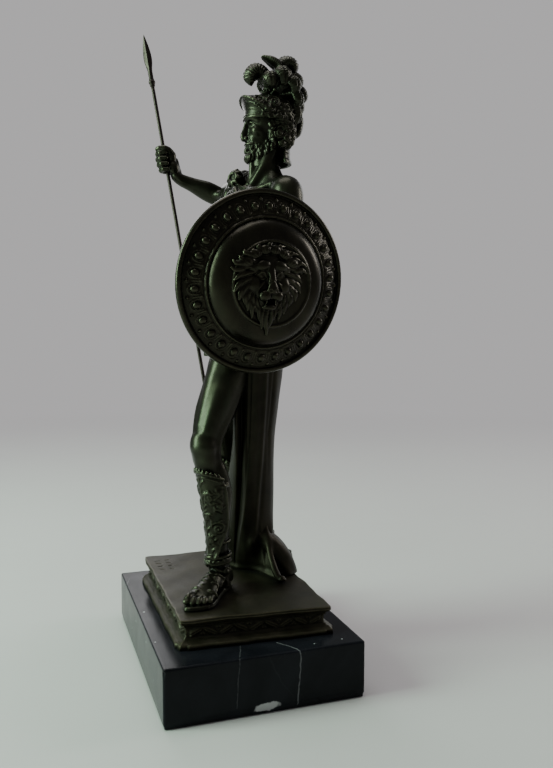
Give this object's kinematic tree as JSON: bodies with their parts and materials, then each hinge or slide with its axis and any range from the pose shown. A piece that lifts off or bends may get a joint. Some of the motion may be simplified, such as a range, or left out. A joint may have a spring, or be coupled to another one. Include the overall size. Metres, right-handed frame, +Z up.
{
  "type": "warrior statuette",
  "caption": "Bronze statuette of a classical warrior with plumed helmet, round shield and tall spear on a moulded plinth and a marble block.",
  "frame": {"origin": "centre of the marble block's underside, on the surface that the statuette stands on", "axes": "+Z up, -Y the way the figure faces (a long side of the base), +X the figure's left, where the shield is"},
  "size_m": [0.1827, 0.1219, 0.435],
  "materials": {
    "bronze_figure": "satin, dark brown to olive patina, waxed",
    "bronze_shield": "satin, dark brown patina, waxed",
    "bronze_spear": "satin, dark brown patina, rubbed lighter",
    "bronze_plinth": "satin, olive brown patina",
    "black_marble": "polished, white veins and flecks"
  },
  "bodies": {
    "root": {"marble_base": "black_marble", "bronze_plinth": "bronze_plinth", "warrior": "bronze_figure", "shield": "bronze_shield", "spear": "bronze_spear"}
  },
  "joints": []
}
